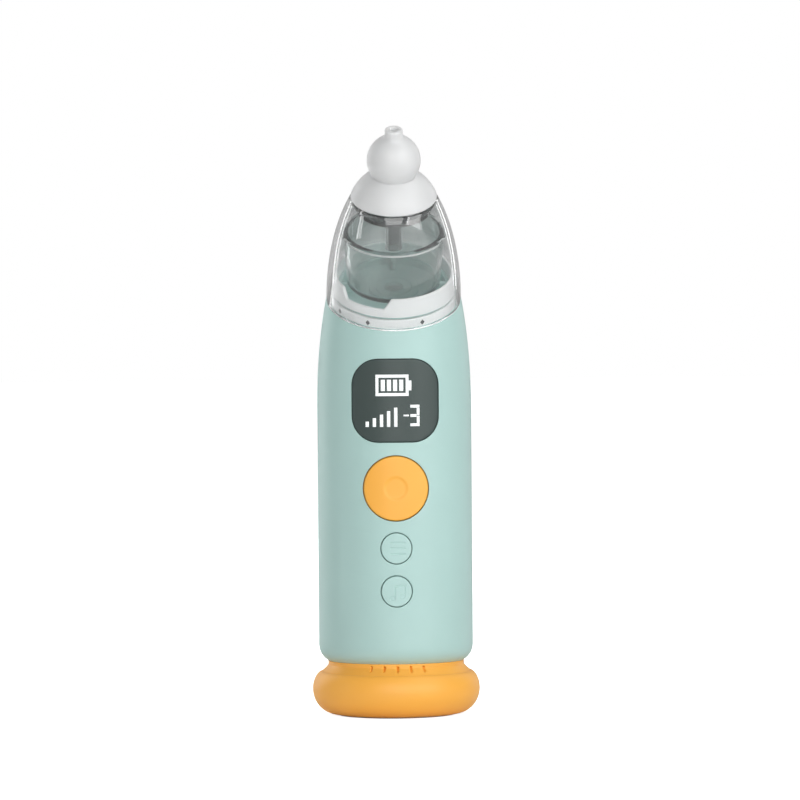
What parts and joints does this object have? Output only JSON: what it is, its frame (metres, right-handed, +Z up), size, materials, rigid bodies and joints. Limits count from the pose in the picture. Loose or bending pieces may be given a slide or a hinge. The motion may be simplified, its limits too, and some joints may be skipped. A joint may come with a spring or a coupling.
{
  "type": "electric nasal aspirator",
  "caption": "Upright battery nasal aspirator: round column with display and push buttons, flared foot, clear forward-leaning collection hood and soft double-bulb nozzle.",
  "frame": {"origin": "centre of the flat underside of the foot pad", "axes": "+Z up the column, -Y the front with the display and buttons, +X to the right seen from the front"},
  "size_m": [0.0512, 0.0633, 0.1791],
  "materials": {
    "mint_plastic": "fine satin moulded",
    "mint_inner_plastic": "satin moulded",
    "orange_plastic": "satin moulded",
    "mint_button_plastic": "satin moulded",
    "white_silicone": "soft matte",
    "white_seal_silicone": "soft satin",
    "clear_plastic": "clear polished",
    "smoked_plastic": "smoked, satin gloss",
    "display_module": "dark display",
    "white_plastic": "satin moulded",
    "grey_plastic": "satin moulded",
    "black_plastic": "satin moulded",
    "circuit_board": "solder mask",
    "steel": "machined",
    "magnet": "sintered",
    "battery_wrap": "shrink-wrapped",
    "black_rubber": "matte",
    "grey_rubber": "matte",
    "clear_silicone": "soft satin",
    "wire_sheath": "flexible sheath",
    "foam": "open-cell foam"
  },
  "bodies": {
    "handle": {"collar_seal": "white_seal_silicone", "base_seal": "white_seal_silicone", "suction_deck": "mint_inner_plastic", "filter_foam": "foam", "filter_cap": "mint_inner_plastic", "inlet_hose": "clear_silicone", "front_shell": "mint_plastic", "rear_shell": "mint_plastic", "display_lens": "smoked_plastic", "display_frame": "white_plastic", "display_panel": "display_module", "tact_switches": "black_plastic", "main_pcb": "circuit_board", "controller_chip": "black_plastic", "pcb_parts": "black_plastic", "pcb_screws": "steel", "charge_board": "circuit_board", "usb_shell": "steel", "usb_tongue": "black_plastic", "chassis": "white_plastic", "chassis_screws": "steel", "motor_can": "steel", "motor_endcap": "black_plastic", "motor_magnets": "magnet", "wobble_yoke": "white_plastic", "pump_housing": "grey_plastic", "diaphragm": "black_rubber", "valve_plate": "grey_plastic", "pump_cover": "grey_plastic", "pump_screws": "steel", "motor_sleeve": "black_rubber", "battery_cell": "battery_wrap", "battery_leads": "wire_sheath", "motor_leads": "wire_sheath", "speaker": "black_plastic", "speaker_leads": "wire_sheath", "foot_ring": "orange_plastic", "base_plate": "white_plastic", "base_screws": "steel", "foot_pad": "grey_rubber"},
    "hood": {"clear_hood": "clear_plastic", "inlet_tube": "clear_plastic"},
    "cup": {"fluid_cup": "clear_plastic"},
    "nozzle": {"nozzle_tip": "white_silicone"},
    "main_key": {"main_button": "orange_plastic", "main_switch_plunger": "black_plastic"},
    "level_key": {"level_button": "mint_button_plastic", "level_switch_plunger": "black_plastic"},
    "music_key": {"music_button": "mint_button_plastic", "music_switch_plunger": "black_plastic"},
    "rotor": {"motor_rotor": "steel", "eccentric_hub": "white_plastic"}
  },
  "joints": [
    {"name": "hood_lift", "type": "slide", "parent": "handle", "child": "hood", "axis": [0, -0.5, 0.866], "range_m": [0, 0.05]},
    {"name": "cup_lift", "type": "slide", "parent": "handle", "child": "cup", "axis": [0, -0.5, 0.866], "range_m": [0, 0.02]},
    {"name": "nozzle_lift", "type": "slide", "parent": "hood", "child": "nozzle", "axis": [0, -0.5, 0.866], "range_m": [0, 0.02]},
    {"name": "main_press", "type": "slide", "parent": "handle", "child": "main_key", "axis": [0, 1, 0], "range_m": [0, 0.0008], "stiffness_N_per_m": 1500},
    {"name": "level_press", "type": "slide", "parent": "handle", "child": "level_key", "axis": [0, 1, 0], "range_m": [0, 0.0006], "stiffness_N_per_m": 1500},
    {"name": "music_press", "type": "slide", "parent": "handle", "child": "music_key", "axis": [0, 1, 0], "range_m": [0, 0.0006], "stiffness_N_per_m": 1500},
    {"name": "rotor_spin", "type": "hinge", "parent": "handle", "child": "rotor", "pos_m": [0, 0.003, 0.085], "axis": [0, 0, 1], "continuous": true}
  ],
  "couplings": [
    {"joint": "cup_lift", "follows": "hood_lift", "ratio": 0.4}
  ]
}
